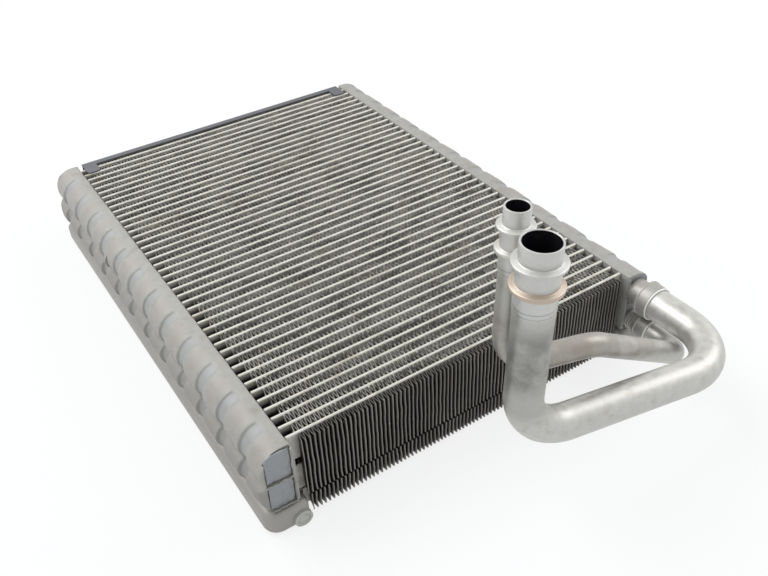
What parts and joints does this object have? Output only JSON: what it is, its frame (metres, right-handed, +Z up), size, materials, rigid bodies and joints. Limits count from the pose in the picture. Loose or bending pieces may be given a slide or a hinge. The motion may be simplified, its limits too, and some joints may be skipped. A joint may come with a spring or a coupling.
{
  "type": "evaporator core",
  "caption": "Brazed flat-tube evaporator core with chambered side tanks, a rear storage tube row, corrugated fins and bent pipes with upright spigots.",
  "frame": {"origin": "bottom centre of the whole core with its pipes, on the plane that the storage tanks rest on", "axes": "+Z up from the resting faces, the way both spigots point; +Y along the side tanks, away from the pipes; +X along the flat tubes, from the left tank to the right tank that carries the nipples"},
  "size_m": [0.257, 0.3912, 0.1596],
  "materials": {
    "tube": "matt brazed edges, a little stained",
    "end_cap": "satin",
    "inner_sheet": "satin",
    "storage_tank": "satin",
    "tank_cover": "satin",
    "filler_ring": "matt brazed",
    "nipple": "satin machined",
    "pipe": "satin, a little mottled",
    "fin": "matt",
    "side_plate": "matt, darkened"
  },
  "bodies": {
    "root": {"front_tubes_far": "tube", "front_tubes_middle": "tube", "front_tubes_near": "tube", "left_far_lower_cap": "end_cap", "left_far_upper_cap": "end_cap", "left_front_baffle": "inner_sheet", "left_near_lower_cap": "end_cap", "left_near_upper_cap": "end_cap", "left_partition": "inner_sheet", "left_rear_baffle": "inner_sheet", "left_storage_cap": "storage_tank", "left_storage_tank": "storage_tank", "left_tank_cover": "tank_cover", "left_tube_plate": "inner_sheet", "liquid_filler_ring": "filler_ring", "liquid_nipple": "nipple", "liquid_pipe": "pipe", "main_fins_far": "fin", "main_fins_middle": "fin", "main_fins_near": "fin", "near_fin": "fin", "near_storage_fin": "fin", "rear_tubes_far": "tube", "rear_tubes_middle": "tube", "rear_tubes_near": "tube", "right_far_lower_cap": "end_cap", "right_far_upper_cap": "end_cap", "right_front_baffle": "inner_sheet", "right_near_lower_cap": "end_cap", "right_near_upper_cap": "end_cap", "right_partition": "inner_sheet", "right_rear_baffle": "inner_sheet", "right_storage_cap": "storage_tank", "right_storage_tank": "storage_tank", "right_tank_cover": "tank_cover", "right_tube_plate": "inner_sheet", "side_plate": "side_plate", "storage_fins_far": "fin", "storage_fins_middle": "fin", "storage_fins_near": "fin", "storage_plug": "storage_tank", "storage_tubes_far": "tube", "storage_tubes_middle": "tube", "storage_tubes_near": "tube", "suction_filler_ring": "filler_ring", "suction_nipple": "nipple", "suction_pipe": "pipe"}
  },
  "joints": []
}
